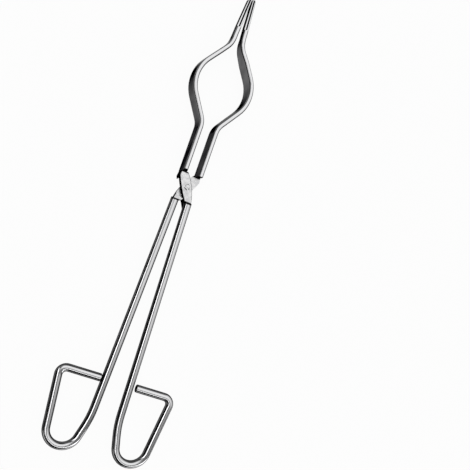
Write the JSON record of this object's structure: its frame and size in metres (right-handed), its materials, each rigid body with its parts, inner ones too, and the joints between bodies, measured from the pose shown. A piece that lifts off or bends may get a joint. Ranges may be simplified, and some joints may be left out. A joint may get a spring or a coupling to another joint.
{
  "type": "crucible tongs",
  "caption": "Riveted steel tongs for lifting hot crucibles and beakers: bowed strip jaws with fluted tips, round rod handles and open finger loops.",
  "frame": {"origin": "middle of the tongs' length and width, at the height of the surface that they lie on", "axes": "+Y along the tongs from the finger loops to the jaws, +X to the right seen from the front plate's side, +Z along the rivet towards the front plate"},
  "size_m": [0.0772, 0.3, 0.0092],
  "materials": {
    "polished_steel": "polished steel rod and strip, with satin pressed faces on the pivot plates",
    "rivet_steel": "satin peened steel"
  },
  "bodies": {
    "front_arm": {"front_arm": "polished_steel", "rivet": "rivet_steel"},
    "rear_arm": {"rear_arm": "polished_steel"}
  },
  "joints": [
    {"name": "pivot", "type": "hinge", "parent": "front_arm", "child": "rear_arm", "pos_m": [0, 0.025, 0.0046], "axis": [0, 0, -1], "range_deg": [0, 75]}
  ]
}
